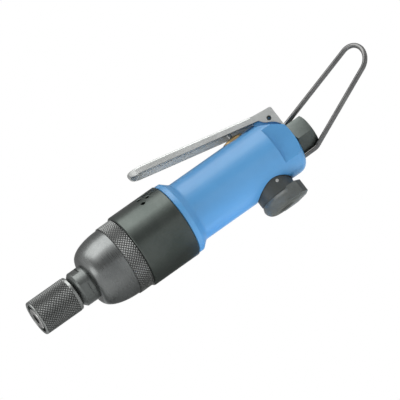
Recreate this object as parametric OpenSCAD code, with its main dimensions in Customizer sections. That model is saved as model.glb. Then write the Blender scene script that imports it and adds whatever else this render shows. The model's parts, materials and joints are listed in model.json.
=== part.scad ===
// Straight air screwdriver with a twin hammer, a throttle lever, a turning
// exhaust collar, a reverse knob and a wire hanger.
// X runs along the tool from the mouth of the bit socket to the air inlet.
// Z points to the lever side. All sizes are in millimetres.

/* [Bit holder] */
// outer diameter of the sleeve that locks the bit
sleeve_d = 23; // [22:0.5:24]
// length of the sleeve
sleeve_len = 27.8; // [27:0.2:28.2]
// forward pull that frees the bit
sleeve_travel = 4.5; // [3:0.5:4.5]
// width across the flats of the bit shank
bit_af = 6.35; // [6.3:0.05:6.5]
// depth of the bit socket
socket_depth = 26; // [22:1:30]

/* [Hammer case] */
// diameter of the round nose
nose_d = 23.2; // [22.6:0.2:23.6]
// width across the four spanner flats on the nose
nose_flats = 21; // [20.5:0.1:21.5]
// height of the gripped band above the seat of the collar
band_step = 1.2; // [1:0.1:1.6]

/* [Exhaust collar] */
// wall of the collar
collar_wall = 2.35; // [2:0.05:2.6]
// diameter of the exhaust holes
vent_d = 2.6; // [2:0.1:3]

/* [Housing] */
// bore of the motor
motor_d = 35; // [34.6:0.1:35.2]
// wall of the grip round the motor
grip_wall = 2.5; // [2.3:0.1:2.7]
// height of the flange above the grip
flange_step = 4; // [3.6:0.2:4.4]
// depth of the two spanner flats at the tail
tail_flat_cut = 4.4; // [4:0.1:4.8]

/* [Lever] */
// overall width of the lever
lever_w = 19.4; // [19.4:0.1:20.2]
// thickness of the lever steel
lever_t = 1.2; // [1:0.1:1.2]
// length of the lever from its pin to its tip
lever_len = 92.8; // [84:0.4:96]
// height of the lever skirts
skirt_h = 4.2; // [3.4:0.2:4.6]

/* [Reverse knob] */
// diameter of the knob hub
knob_d = 26; // [25:0.2:26]
// half turn of the knob either way
knob_turn = 40; // [30:1:44]

/* [Air inlet] */
// width across the flats of the inlet bushing
inlet_af = 22.2; // [22:0.1:23]
// diameter of the threaded port at its wall
port_d = 11.4; // [11:0.1:11.8]

/* [Hanger] */
// diameter of the hanger wire
wire_d = 2.9; // [2.5:0.1:2.9]
// tilt of the hanger loop away from the tool axis
loop_tilt = 34; // [30:1:38]

/* [Display] */
// sub-part to show

/* [Hidden] */
$fn = 0;
over = 0.5;
gap = 0.3;
run = 0.05;

black_steel = [0.24, 0.25, 0.25];
grey_steel = [0.45, 0.47, 0.46];
bright_steel = [0.78, 0.79, 0.78];
blue_metal = [0.36, 0.61, 0.82];
brass = [0.78, 0.63, 0.35];
bronze = [0.7, 0.5, 0.3];
dark_plastic = [0.26, 0.27, 0.28];
rubber = [0.08, 0.08, 0.08];
white_paint = [0.92, 0.92, 0.9];
resin = [0.55, 0.42, 0.3];

// spindle and sleeve
sleeve_r = sleeve_d / 2;
spindle_r = 7;
mouth_bevel = 0.4;
socket_play = 0.1;
socket_r = (bit_af + socket_play) / 2 / cos(30);
ring_x = 2;
ring_t = 1.1;
ring_in = 6.4;
ring_out = 8;
ring_slot = 5;
cup_r = 8.6;
land_x = 12;
land_end = 20.6;
stop_ring_x = land_end + gap;
back_recess_r = 8.3;
sleeve_edge = 1.2;
sleeve_tail_bevel = 2.2;
ball_r = 2.2;
ball_x = 18.5;
ball_lift = spindle_r - ball_r;
ball_seat_wide = 4.2;
ball_seat_deep = 3.05;
ball_seat_r = 1.65;
sleeve_wire = 0.5;
sleeve_coil_r = 7.85;
sleeve_coils = 4;

// bores and seats that share the tool's axis
motor_r = motor_d / 2;
body_r = motor_r + grip_wall;
body_d = 2 * body_r;
thread_wall = 2.9;
thread_r = motor_r + thread_wall;
spigot_wall = 1.8;
spigot_r = thread_r + spigot_wall;
neck_rise = 0.4;
neck_r = spigot_r + neck_rise;
band_r = spigot_r + band_step;

// hammer case
nose_r = nose_d / 2;
nose_gap = 0.6;
nose_x = sleeve_len + nose_gap;
nose_bevel_len = 2.6;
nose_face_r = nose_r - nose_bevel_len;
nose_ridge = 0.4;
nose_flat_len = 5;
nose_flat_turn = 28.7;
lip_r = 7.5;
lip_len = 1;
bush_r = 9;
bush_len = 17.6;
bush_end = nose_x + bush_len;
nose_len = 10.9;
dome_x = nose_x + nose_len;
dome_step_r = 1.6;
dome_front_r = nose_r + dome_step_r;
dome_len = 21.7;
dome_end = dome_x + dome_len;
band_rise = 0.6;
dome_r = band_r - band_rise;
dome_power = 0.44;
dome_steps = 12;
dome_rim = 1;
band_x = dome_end + dome_rim;
band_len = 8;
band_end = band_x + band_len;
neck_len = 0.7;
neck_end = band_end + neck_len;
spigot_len = 9.3;
spigot_end = neck_end + spigot_len;
thread_len = 16.2;
case_end = spigot_end + thread_len;
thrust_x = bush_end + gap;
thrust_len = 2.7;
thrust_end = thrust_x + thrust_len;
thrust_step = 0.5;
thrust_r = bush_r + thrust_step;
thrust_room = 1;
thrust_pocket_r = thrust_r + thrust_room;
thrust_pocket_len = 3.5;
thrust_pocket_end = bush_end + thrust_pocket_len;
chamber_wall = 1.5;
chamber_r = thread_r - chamber_wall;
chamber_step = 1.9;
chamber_front_r = chamber_r - chamber_step;
chamber_cone = 3;
chamber_x = thrust_pocket_end + chamber_cone;

// seals under the collar
seal_r = 0.8;
seal_squash = 0.04;
seal_out = spigot_r + seal_squash;
seal_groove_deep = 1.6;
seal_groove_r = spigot_r - seal_groove_deep;
seal_groove_w = 1.9;
seal_front_in = 3.8;
seal_front_x = neck_end + seal_front_in;
flange_in = 8.8;
flange_x = case_end + flange_in;
seal_back_in = 2;
seal_back_x = flange_x - seal_back_in;

// twin hammer
cage_room = 1;
cage_x = thrust_end + cage_room;
cage_disc_t = 4;
cage_disc_end = cage_x + cage_disc_t;
cage_front_play = 0.7;
cage_front_r = chamber_front_r - cage_front_play;
cage_play = 0.4;
cage_r = chamber_r - cage_play;
cage_wall = 1.3;
cage_in = cage_r - cage_wall;
web_half = 5.9;
web_in = 1;
web_x = cage_disc_end - web_in;
hammer_len = 14.4;
front_hammer_x = cage_disc_end + gap;
rear_hammer_x = front_hammer_x + hammer_len + gap;
cage_rear_x = rear_hammer_x + hammer_len + gap;
cage_rear_t = 5.3;
cage_rear_end = cage_rear_x + cage_rear_t;
hammer_play = 1.2;
hammer_r = cage_in - hammer_play;
hammer_wall = 5.7;
hammer_bore_r = hammer_r - hammer_wall;
pin_edge = 2.9;
pin_off = hammer_r - pin_edge;
hammer_pin_r = 2;
cage_shoulder_edge = 1.85;
cage_shoulder_r = pin_off - hammer_pin_r - cage_shoulder_edge;
slot_half = 1.6;
slot_r = 2.4;
lug_deep = 3;
lug_in_r = hammer_bore_r - lug_deep;
lug_half = 4;
lug_room = 1.3;
anvil_r = lug_in_r - lug_room;
jaw_r = hammer_bore_r - lug_room;
jaw_half = 4;
pilot_r = 4;
pilot_len = 3;
pilot_pocket = 3.5;
hub_r = 9;
hub_back = 1.2;
hub_end = case_end - hub_back;
drive_af = 6.8;
drive_r = drive_af / 2 / cos(30);
drive_len = 7;
drive_x = hub_end - drive_len;

// motor
plate_play = 0.1;
plate_flange_r = thread_r - plate_play;
plate_flange_t = 1.8;
plate_flange_end = case_end + plate_flange_t;
front_plate_t = 4;
front_plate_end = plate_flange_end + front_plate_t;
liner_len = 40.6;
liner_end = front_plate_end + liner_len;
rear_plate_t = 6.4;
rear_plate_end = liner_end + rear_plate_t;
liner_wall = 2.1;
liner_bore_r = motor_r - liner_wall;
liner_off = 1.1;
rotor_room = 1.4;
rotor_r = liner_bore_r - rotor_room;
shaft_r = 4;
shaft_back = 0.2;
shaft_end = rear_plate_end - shaft_back;
shaft_play = 1;
shaft_hole_r = shaft_r + shaft_play;
vane_count = 6;
vane_slot_w = 1.6;
vane_root_r = 7.5;
vane_sunk = 0.2;
vane_tip_r = rotor_r - vane_sunk;
vane_play = 0.2;
dowel_r = 1;
dowel_edge = 1.6;
dowel_z = dowel_edge - motor_r;
dowel_in = 3;
dowel_x = front_plate_end - dowel_in;
dowel_end = liner_end + dowel_in;
bearing_w = 5;
bearing_r = 9.5;
race_in_r = 7.6;
race_out_r = 5.9;
track_r = 6.75;
track_ball_r = 1.4;
track_balls = 8;
rear_bearing_x = rear_plate_end - bearing_w;
port_edge = 5.5;
port_y = motor_r - port_edge;
port_r = 1.8;
slot_in = 6;
slot_x = front_plate_end + slot_in;
slot_pitch = 6;
slot_count = 5;
slot_w = 2;
slot_len = 11;
groove_half = 6.5;
groove_deep = 1.3;
groove_r = motor_r + groove_deep;
groove_in = 0.9;
groove_x = plate_flange_end + groove_in;
groove_short = 4.6;
groove_end = liner_end - groove_short;

// collar
collar_x = neck_end + gap;
collar_play = 0.4;
collar_end = flange_x - collar_play;
collar_bore_r = spigot_r + run;
collar_r = collar_bore_r + collar_wall;
relief_deep = 0.85;
collar_relief_r = collar_bore_r + relief_deep;
relief_in = 7;
relief_x = collar_x + relief_in;
relief_back = 3.2;
relief_end = collar_end - relief_back;
collar_bevel = 1;
vent_r = vent_d / 2;
vent_back = 8.6;
vent_pitch = 5.3;
vent_rows = [collar_end - vent_back - vent_pitch, collar_end - vent_back];
vent_step = 15;
duct_in = 0.9;
duct_x = groove_x + duct_in;
duct_r = 1.2;
duct_step = 12;

// housing
flange_r = body_r + flange_step;
flange_t = 4.6;
flange_end = flange_x + flange_t;
throttle_back = 14.2;
throttle_x = rear_plate_end + throttle_back;
knob_back = 16.3;
knob_x = rear_plate_end + knob_back;
tail_len = 26.9;
tail_x = knob_x + tail_len;
rim_r = 6.5;
flats_len = 14.2;
flats_x = tail_x - flats_len;
pocket_len = 19.2;
pocket_x = tail_x - pocket_len;
pocket_rise = 0.3;
pocket_z = body_r + pocket_rise;
pocket_drop = 0.7;
fork_play = 0.3;
fork_half = lever_w / 2 - lever_t - fork_play;
fork_back = 2.2;
fork_len = 14;
fork_end = tail_x - fork_back;
fork_x = fork_end - fork_len;
fork_sunk = 0.1;
fork_top = body_r - fork_sunk;

// throttle
cap_r = 7.3;
spot_play = 0.2;
spot_r = cap_r + spot_play;
spot_sunk = 1.6;
spot_z = body_r - spot_sunk;
cap_rim_t = 1.3;
cap_rim_z = spot_z + cap_rim_t;
cap_top_r = 3.2;
cap_cone = 2.7;
cap_top_z = cap_rim_z + cap_cone;
plug_r = 5.5;
plug_len = 5.9;
plug_z = spot_z - plug_len;
plug_bore_r = 3;
plug_roof = 1.4;
plug_bore_top = spot_z - plug_roof;
cross_rise = 1.9;
cross_z = plug_z + cross_rise;
cross_r = 1.6;
cross_y = 7;
well_r = 4.2;
well_deep = 9.5;
well_z = plug_z - well_deep;
well_floor = 2.5;
valve_bush_top = well_z - well_floor;
seat_t = 0.8;
seat_r = 2.2;
valve_r = 3;
valve_z = plug_z - seat_t - sqrt(valve_r * valve_r - seat_r * seat_r) - run;
stem_r = 1.5;
stem_collar_r = 2.4;
stem_collar_t = 0.8;
valve_wire = 0.25;
valve_coil_r = 2.2;
valve_coils = 3.5;
valve_spring_top = valve_z + valve_wire
    - sqrt(pow(valve_r + valve_wire + run, 2) - pow(valve_coil_r, 2));

// lever
pin_back = 4.7;
pin_x = tail_x - pin_back;
pin_sunk = 2.9;
pin_z = body_r - pin_sunk;
lever_pin_r = 1.5;
lever_pin_out = 0.2;
lever_pin_half = lever_w / 2 + lever_pin_out;
lever_slope = 11.31;
lever_top = 5.24;
lever_back = 5;
tip_cut_r = 4.5;
ear_back = 4.3;
ear_top_back = 5.6;
ear_low = 8.9;
ear_heel = [2.5, -4.7];
ear_belly = [-2.8, -1.3];
ear_toe = [-6.3, 2.9];
ear_front = [-6.5, 6.5];
web_under = lever_top - lever_t;
reach = pin_x - throttle_x;
lever_touch = 0.1;
stem_top = pin_z + (web_under - stem_r - lever_touch + reach * sin(lever_slope)) / cos(lever_slope);

// reverse valve and knob
knob_r = knob_d / 2;
knob_round = 6;
knob_pocket_r = knob_r + gap;
knob_sunk = 8.2;
knob_pocket_z = knob_sunk - body_r;
port_z = (knob_pocket_z + valve_bush_top) / 2;
knob_height = 20.7;
knob_low = knob_pocket_z - knob_height;
knob_top = knob_pocket_z - gap;
pointer_in = 1;
pointer_half = knob_r - pointer_in;
pointer_knee = 11.2;
pointer_tip = 18;
pointer_tip_half = 3;
pointer_drop = 10;
pointer_top = knob_pocket_z - pointer_drop;
pointer_base = 0.7;
pointer_low = knob_low + pointer_base;
valve_bush_r = 8;
spool_r = 6.5;
spool_head_step = 0.9;
spool_head_r = spool_r + spool_head_step;
spool_head_t = 0.8;
spool_room_r = spool_head_r + gap;
spool_room_h = 1.4;
spool_room_z = valve_bush_top + spool_room_h;
spool_hollow_r = 3;
spool_floor = 3.1;
spool_hollow_z = knob_top + spool_floor;
tang = 7;
tang_len = 8;
tang_low = knob_top - tang_len;
screw_r = 2;
screw_head_r = 3.5;
screw_head_t = 3.2;
screw_sink = 4.5;
screw_seat_z = knob_low + screw_sink;
screw_end = 0.4;
screw_top_z = knob_top - screw_end;
screw_sink_r = screw_head_r + gap;
screw_key_af = 3;
detent_y = 10.3;
detent_r = 1.2;
detent_drop = 0.3;
detent_z = knob_top - detent_drop;
detent_deep = 5.3;
detent_top = knob_pocket_z + detent_deep;
detent_wire = 0.2;
detent_coil_r = 0.8;
detent_coils = 7;
detent_margin = 8;
mark_off = 1.7;
mark_x = knob_x + mark_off;
mark_drop = 5.6;
mark_z = knob_top - mark_drop;
mark_r = 1;
mark_deep = 0.7;
mark_in = knob_r - mark_deep;
mark_sunk = 0.15;
mark_out = knob_r - mark_sunk;

// air inlet
inlet_z = -2.4;
cavity_len = 18.2;
cavity_x = tail_x - cavity_len;
cavity_r = 8.3;
shank_len = 12.2;
shank_x = tail_x - shank_len;
shank_r = 9.5;
inlet_seal_t = 0.7;
hex_x = tail_x + inlet_seal_t;
hex_len = 11.9;
hex_end = hex_x + hex_len;
hex_turn = 8;
hex_bevel = 1.6;
port_len = 13;
port_x = hex_end - port_len;
rim_seat_r = 5;
rim_seat_t = 0.8;
rim_seat_x = port_x - rim_seat_t;
strainer_hole_r = 4.2;
strainer_r = 4;
strainer_in = 3.5;
strainer_len = 12.5;
strainer_x = rim_seat_x - strainer_len;
strainer_end_t = 0.5;
inlet_seal_edge = 0.5;
inlet_seal_r = inlet_af / 2 - inlet_seal_edge;
feed_r = 2.2;
feed_rise = 3.5;
feed_in = 3;
feed_z = 4;
feed_a = [throttle_x, 0, well_z + feed_rise];
feed_b = [cavity_x + feed_in, 0, feed_z];

// hanger
wire_r = wire_d / 2;
leg_off = 2.8;
leg_r = inlet_af / 2 + leg_off;
leg_turn = 28.4;
leg_deep = 8.2;
leg_x = tail_x - leg_deep;
bend_back = 2.5;
bend_x = hex_end - bend_back;
loop_turn = 30;
loop_len = 53;
loop_r = 9.7;
bend_swell = 0.02;
bend_r = wire_r + bend_swell;

module rod_x(x1, x2, r) {
    translate([x1, 0, 0])
        rotate([0, 90, 0])
            cylinder(h = x2 - x1, r = r);
}

module cone_x(x1, r1, x2, r2) {
    translate([x1, 0, 0])
        rotate([0, 90, 0])
            cylinder(h = x2 - x1, r1 = r1, r2 = r2);
}

module ring_x(x1, x2, r_out, r_in) {
    difference() {
        rod_x(x1, x2, r_out);
        rod_x(x1 - over, x2 + over, r_in);
    }
}

module torus_x(x, r, wire) {
    translate([x, 0, 0])
        rotate([0, 90, 0])
            rotate_extrude()
                translate([r, 0])
                    circle(r = wire);
}

module strut(a, b, r) {
    d = b - a;
    translate(a)
        rotate([0, acos(d[2] / norm(d)), atan2(d[1], d[0])])
            cylinder(h = norm(d), r = r);
}

module post(x, y, z1, z2, r) {
    translate([x, y, z1])
        cylinder(h = z2 - z1, r = r);
}

module coil(r, wire, len, turns) {
    sides = 6;
    steps = ceil(turns * 14);
    points = [for (i = [0:steps]) for (j = [0:sides - 1])
        let (a = 360 * turns * i / steps, b = 360 * j / sides)
            [(r + wire * cos(b)) * cos(a), (r + wire * cos(b)) * sin(a),
             wire + (len - 2 * wire) * i / steps + wire * sin(b)]];
    walls = [for (i = [0:steps - 1]) for (j = [0:sides - 1])
        [i * sides + j, i * sides + (j + 1) % sides,
         (i + 1) * sides + (j + 1) % sides, (i + 1) * sides + j]];
    start = [[for (j = [sides - 1:-1:0]) j]];
    end = [[for (j = [0:sides - 1]) steps * sides + j]];
    polyhedron(points = points, faces = concat(walls, start, end));
}

function dome_at(t) = dome_front_r + (dome_r - dome_front_r) * pow(1 - pow(1 - t, 2), dome_power);

module turned(outline) {
    rotate([0, 90, 0])
        rotate_extrude()
            polygon(outline);
}

module case_outside() {
    dome = [for (i = [0:dome_steps])
        let (t = pow(i / dome_steps, 2))
            [dome_at(t), dome_x + (dome_end - dome_x) * t]];
    turned(concat(
        [[0, nose_x], [nose_face_r, nose_x], [nose_r, nose_x + nose_bevel_len], [nose_r, dome_x]],
        dome,
        [[dome_r, band_x], [band_r, band_x], [band_r, band_end], [neck_r, band_end], [neck_r, neck_end],
         [spigot_r, neck_end], [spigot_r, spigot_end], [thread_r, spigot_end], [thread_r, case_end],
         [0, case_end]]));
}

module case_inside() {
    turned([[0, nose_x - over], [lip_r, nose_x - over], [lip_r, nose_x + lip_len], [bush_r, nose_x + lip_len],
        [bush_r, bush_end], [thrust_pocket_r, bush_end], [thrust_pocket_r, thrust_pocket_end],
        [chamber_front_r, thrust_pocket_end], [chamber_r, chamber_x], [chamber_r, case_end + over],
        [0, case_end + over]]);
}

module seal_groove(x) {
    ring_x(x - seal_groove_w / 2, x + seal_groove_w / 2, spigot_r + over, seal_groove_r);
}

module hammer_case() {
    color(black_steel)
        difference() {
            case_outside();
            case_inside();
            for (i = [0:3])
                rotate([nose_flat_turn + 90 * i, 0, 0])
                    translate([nose_x + nose_bevel_len + nose_ridge, -nose_r, nose_flats / 2])
                        cube([nose_flat_len, nose_d, nose_r]);
            seal_groove(seal_front_x);
        }
}

module front_bush() {
    color(bronze)
        ring_x(nose_x + lip_len, bush_end, bush_r, spindle_r + run);
}

module jaw(x) {
    intersection() {
        rod_x(x, x + hammer_len, jaw_r);
        translate([x, 0, -jaw_half])
            cube([hammer_len, jaw_r, 2 * jaw_half]);
    }
}

module ball_seat() {
    post(ball_x, 0, ball_seat_wide, spindle_r + over, ball_r + run);
    translate([ball_x, 0, ball_seat_deep])
        cylinder(h = ball_seat_wide - ball_seat_deep, r1 = ball_seat_r, r2 = ball_r + run);
    post(ball_x, 0, 0, ball_seat_deep, ball_seat_r);
}

module spindle() {
    color(bright_steel)
        difference() {
            union() {
                cone_x(0, spindle_r - mouth_bevel, mouth_bevel, spindle_r);
                rod_x(mouth_bevel, thrust_x, spindle_r);
                rod_x(thrust_x, thrust_end, thrust_r);
                rod_x(thrust_end, cage_disc_end, cage_shoulder_r);
                rod_x(cage_disc_end, cage_rear_x - gap, anvil_r);
                jaw(front_hammer_x);
                jaw(rear_hammer_x);
                rod_x(cage_rear_x - gap, cage_rear_x + pilot_len, pilot_r);
            }
            translate([-over, 0, 0])
                rotate([0, 90, 0])
                    cylinder(h = socket_depth + over, r = socket_r, $fn = 6);
            ball_seat();
            ring_x(ring_x, ring_x + ring_t, spindle_r + over, ring_in);
            ring_x(stop_ring_x, stop_ring_x + ring_t, spindle_r + over, ring_in);
        }
}

module snap_ring(x) {
    difference() {
        ring_x(x, x + ring_t, ring_out, ring_in);
        translate([x - over, 0, -ring_slot / 2])
            cube([ring_t + 2 * over, ring_out, ring_slot]);
    }
}

module retaining_rings() {
    color(grey_steel) {
        snap_ring(ring_x);
        snap_ring(stop_ring_x);
    }
}

module lock_ball() {
    color(bright_steel)
        translate([ball_x, 0, ball_lift])
            sphere(r = ball_r);
}

module bit_sleeve() {
    color(bright_steel)
        difference() {
            union() {
                cone_x(0, sleeve_r - sleeve_edge, sleeve_edge, sleeve_r);
                rod_x(sleeve_edge, sleeve_len - sleeve_tail_bevel, sleeve_r);
                cone_x(sleeve_len - sleeve_tail_bevel, sleeve_r, sleeve_len, sleeve_r - sleeve_tail_bevel);
            }
            rod_x(-over, land_x, cup_r);
            rod_x(land_x - over, land_end + over, spindle_r + run);
            rod_x(land_end, sleeve_len + over, back_recess_r);
        }
}

module sleeve_spring() {
    color(grey_steel)
        translate([ring_x + ring_t, 0, 0])
            rotate([0, 90, 0])
                coil(sleeve_coil_r, sleeve_wire, land_x - ring_x - ring_t, sleeve_coils);
}

module hammer_cage() {
    color(grey_steel)
        difference() {
            union() {
                cone_x(cage_x, cage_front_r, chamber_x, cage_r);
                rod_x(chamber_x, cage_disc_end, cage_r);
                intersection() {
                    ring_x(web_x, cage_rear_end, cage_r, cage_in);
                    translate([web_x, -cage_r, -web_half])
                        cube([cage_rear_end - web_x, 2 * cage_r, 2 * web_half]);
                }
                rod_x(cage_rear_x, cage_rear_end, cage_r);
                rod_x(cage_rear_end, hub_end, hub_r);
            }
            rod_x(cage_x - over, cage_disc_end + over, cage_shoulder_r + run);
            rod_x(cage_rear_x - over, cage_rear_x + pilot_pocket, pilot_r + run);
            translate([cage_rear_x, 0, 0])
                rotate([0, 90, 0])
                    cylinder(h = hub_end - cage_rear_x + over, r = drive_r, $fn = 6);
            for (side = [-1, 1])
                translate([0, 0, side * pin_off])
                    rod_x(cage_x - over, cage_rear_end + over, hammer_pin_r);
        }
}

module hammer_pins() {
    color(bright_steel)
        for (side = [-1, 1])
            translate([0, 0, side * pin_off])
                rod_x(cage_x + gap, cage_rear_end, hammer_pin_r);
}

module hammer(x) {
    difference() {
        union() {
            ring_x(x, x + hammer_len, hammer_r, hammer_bore_r);
            intersection() {
                ring_x(x, x + hammer_len, hammer_bore_r + over, lug_in_r);
                translate([x, -hammer_bore_r - over, -lug_half])
                    cube([hammer_len, hammer_bore_r + over, 2 * lug_half]);
            }
        }
        translate([0, 0, pin_off])
            rod_x(x - over, x + hammer_len + over, hammer_pin_r + run);
        for (side = [-1, 1])
            translate([0, side * slot_half, -pin_off])
                rod_x(x - over, x + hammer_len + over, slot_r);
        translate([x - over, -slot_half, -pin_off - slot_r])
            cube([hammer_len + 2 * over, 2 * slot_half, 2 * slot_r]);
    }
}

module hammer_front() {
    color(grey_steel)
        hammer(front_hammer_x);
}

module hammer_rear() {
    color(grey_steel)
        mirror([0, 0, 1])
            hammer(rear_hammer_x);
}

module vane_slots(width, root, tip, x1, x2) {
    for (i = [0:vane_count - 1])
        rotate([360 * i / vane_count, 0, 0])
            translate([x1, -width / 2, root])
                cube([x2 - x1, width, tip - root]);
}

module rotor() {
    color(grey_steel)
        difference() {
            union() {
                rod_x(front_plate_end + gap, liner_end - gap, rotor_r);
                rod_x(hub_end, shaft_end, shaft_r);
                translate([drive_x, 0, 0])
                    rotate([0, 90, 0])
                        cylinder(h = hub_end - drive_x, r = drive_r, $fn = 6);
            }
            vane_slots(vane_slot_w, vane_root_r, rotor_r + over, front_plate_end, liner_end);
        }
}

module vanes() {
    color(resin)
        vane_slots(vane_slot_w - 2 * run, vane_root_r + vane_play, vane_tip_r,
            front_plate_end + gap + vane_play, liner_end - gap - vane_play);
}

module tracks(x) {
    torus_x(x + bearing_w / 2, track_r, track_ball_r + run);
}

module inner_races() {
    color(bright_steel)
        for (x = [case_end, rear_bearing_x])
            difference() {
                ring_x(x, x + bearing_w, race_out_r, shaft_r);
                tracks(x);
            }
}

module outer_races() {
    color(bright_steel)
        for (x = [case_end, rear_bearing_x])
            difference() {
                ring_x(x, x + bearing_w, bearing_r, race_in_r);
                tracks(x);
            }
}

module bearing_balls() {
    color(bright_steel)
        for (x = [case_end, rear_bearing_x])
            for (i = [0:track_balls - 1])
                rotate([360 * i / track_balls, 0, 0])
                    translate([x + bearing_w / 2, 0, track_r])
                        sphere(r = track_ball_r);
}

module dowel_hole(x1, x2) {
    translate([0, 0, dowel_z])
        rod_x(x1, x2, dowel_r);
}

module liner() {
    color(grey_steel)
        difference() {
            rod_x(front_plate_end, liner_end, motor_r);
            translate([0, 0, liner_off])
                rod_x(front_plate_end - over, liner_end + over, liner_bore_r);
            dowel_hole(front_plate_end - over, liner_end + over);
            for (i = [0:slot_count - 1])
                translate([slot_x + slot_pitch * i - slot_w / 2, -slot_len / 2, rotor_r])
                    cube([slot_w, slot_len, motor_r]);
        }
}

module liner_pin() {
    color(bright_steel)
        dowel_hole(dowel_x, dowel_end);
}

module front_end_plate() {
    color(grey_steel)
        difference() {
            union() {
                rod_x(case_end, plate_flange_end, plate_flange_r);
                rod_x(plate_flange_end, front_plate_end, motor_r);
            }
            rod_x(case_end - over, case_end + bearing_w, bearing_r);
            rod_x(case_end, front_plate_end + over, shaft_hole_r);
            dowel_hole(dowel_x, front_plate_end + over);
        }
}

module rear_end_plate() {
    color(grey_steel)
        difference() {
            rod_x(liner_end, rear_plate_end, motor_r);
            rod_x(rear_bearing_x, rear_plate_end + over, bearing_r);
            rod_x(liner_end - over, rear_plate_end, shaft_hole_r);
            dowel_hole(liner_end - over, dowel_end);
            for (side = [-1, 1])
                translate([0, side * port_y, port_z])
                    rod_x(liner_end - over, rear_plate_end + over, port_r);
        }
}

module motor_ports(r) {
    for (side = [-1, 1])
        strut([knob_x, 0, port_z], [rear_plate_end - over, side * port_y, port_z], r);
}

module housing_shell() {
    difference() {
        union() {
            rod_x(spigot_end, flange_x, spigot_r);
            rod_x(flange_x, flange_end + flange_step, flange_r);
        }
        torus_x(flange_end + flange_step, flange_r, flange_step);
    }
    rod_x(flange_end, tail_x - rim_r, body_r);
    torus_x(tail_x - rim_r, body_r - rim_r, rim_r);
    rod_x(tail_x - rim_r, tail_x, body_r - rim_r);
}

module fork_pockets() {
    for (side = [0, 1])
        mirror([0, side, 0])
            translate([0, fork_half + body_r, 0])
                rotate([90, 0, 0])
                    linear_extrude(height = body_r)
                        polygon([[pocket_x, pocket_z], [tail_x + over, pocket_z - pocket_drop * (tail_x + over - pocket_x)],
                            [tail_x + over, body_d], [pocket_x, body_d]]);
}

module throttle_cuts() {
    post(throttle_x, 0, spot_z, body_d, spot_r);
    post(throttle_x, 0, plug_z, spot_z + over, plug_r);
    post(throttle_x, 0, well_z, plug_z + over, well_r);
    strut([throttle_x, 0, cross_z], [throttle_x, cross_y, cross_z], cross_r);
    post(throttle_x, cross_y, spool_room_z - over, cross_z, cross_r);
    strut(feed_a, feed_b, feed_r);
}

module reverse_cuts() {
    post(knob_x, 0, -body_d, knob_pocket_z, knob_pocket_r);
    post(knob_x, 0, knob_pocket_z - over, valve_bush_top, valve_bush_r);
    post(knob_x, 0, valve_bush_top - over, spool_room_z, spool_room_r);
    post(knob_x, detent_y, knob_pocket_z - over, detent_top, detent_r + run);
    motor_ports(port_r);
}

module inlet_cuts() {
    translate([0, 0, inlet_z]) {
        rod_x(cavity_x, shank_x + over, cavity_r);
        rod_x(shank_x, tail_x + over, shank_r);
    }
}

module housing() {
    color(blue_metal)
        difference() {
            union() {
                difference() {
                    housing_shell();
                    fork_pockets();
                }
                translate([fork_x, -fork_half, 0])
                    cube([fork_end - fork_x, 2 * fork_half, fork_top]);
            }
            rod_x(spigot_end - over, plate_flange_end, thread_r);
            rod_x(plate_flange_end - over, rear_plate_end, motor_r);
            seal_groove(seal_back_x);
            intersection() {
                rod_x(groove_x, groove_end, groove_r);
                translate([groove_x, -groove_half, 0])
                    cube([groove_end - groove_x, 2 * groove_half, body_d]);
            }
            for (i = [-2:2])
                rotate([duct_step * i, 0, 0])
                    post(duct_x, 0, motor_r - over, spigot_r + over, duct_r);
            for (side = [0, 1])
                mirror([0, side, 0])
                    translate([flats_x, body_r - tail_flat_cut, -body_r])
                        cube([tail_x, body_r, body_d]);
            translate([pin_x, -fork_half - over, pin_z])
                rotate([-90, 0, 0])
                    cylinder(h = 2 * (fork_half + over), r = lever_pin_r);
            throttle_cuts();
            reverse_cuts();
            inlet_cuts();
            hanger_legs(leg_x, tail_x + over);
        }
}

module exhaust_collar() {
    color(black_steel)
        difference() {
            union() {
                cone_x(collar_x, collar_r - collar_bevel, collar_x + collar_bevel, collar_r);
                rod_x(collar_x + collar_bevel, collar_end, collar_r);
            }
            rod_x(collar_x - over, collar_end + over, collar_bore_r);
            rod_x(relief_x, relief_end, collar_relief_r);
            for (a = [-3:3])
                rotate([vent_step * a, 0, 0])
                    post(vent_rows[0], 0, spigot_r, collar_r + over, vent_r);
            for (a = [-3:2])
                rotate([vent_step * (a + 1 / 2), 0, 0])
                    post(vent_rows[1], 0, spigot_r, collar_r + over, vent_r);
        }
}

module collar_seals() {
    color(rubber)
        for (x = [seal_front_x, seal_back_x])
            torus_x(x, seal_out - seal_r, seal_r);
}

module throttle_bushing() {
    color(brass)
        difference() {
            union() {
                post(throttle_x, 0, plug_z, spot_z, plug_r);
                post(throttle_x, 0, spot_z, cap_rim_z, cap_r);
                translate([throttle_x, 0, cap_rim_z])
                    cylinder(h = cap_top_z - cap_rim_z, r1 = cap_r, r2 = cap_top_r);
            }
            post(throttle_x, 0, plug_z - over, plug_bore_top, plug_bore_r);
            post(throttle_x, 0, plug_z, cap_top_z + over, stem_r + run);
            strut([throttle_x, -plug_r - over, cross_z], [throttle_x, plug_r + over, cross_z], cross_r);
        }
}

module valve_seat() {
    color(dark_plastic)
        difference() {
            post(throttle_x, 0, plug_z - seat_t, plug_z, well_r);
            post(throttle_x, 0, plug_z - seat_t - over, plug_z + over, seat_r);
        }
}

module throttle_stem() {
    color(bright_steel) {
        post(throttle_x, 0, valve_z + valve_r, stem_top, stem_r);
        translate([throttle_x, 0, stem_top])
            sphere(r = stem_r);
        post(throttle_x, 0, plug_bore_top - gap - stem_collar_t, plug_bore_top - gap, stem_collar_r);
    }
}

module valve_ball() {
    color(bright_steel)
        translate([throttle_x, 0, valve_z])
            sphere(r = valve_r);
}

module throttle_spring() {
    color(grey_steel)
        translate([throttle_x, 0, well_z])
            coil(valve_coil_r, valve_wire, valve_spring_top - well_z, valve_coils);
}

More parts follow.
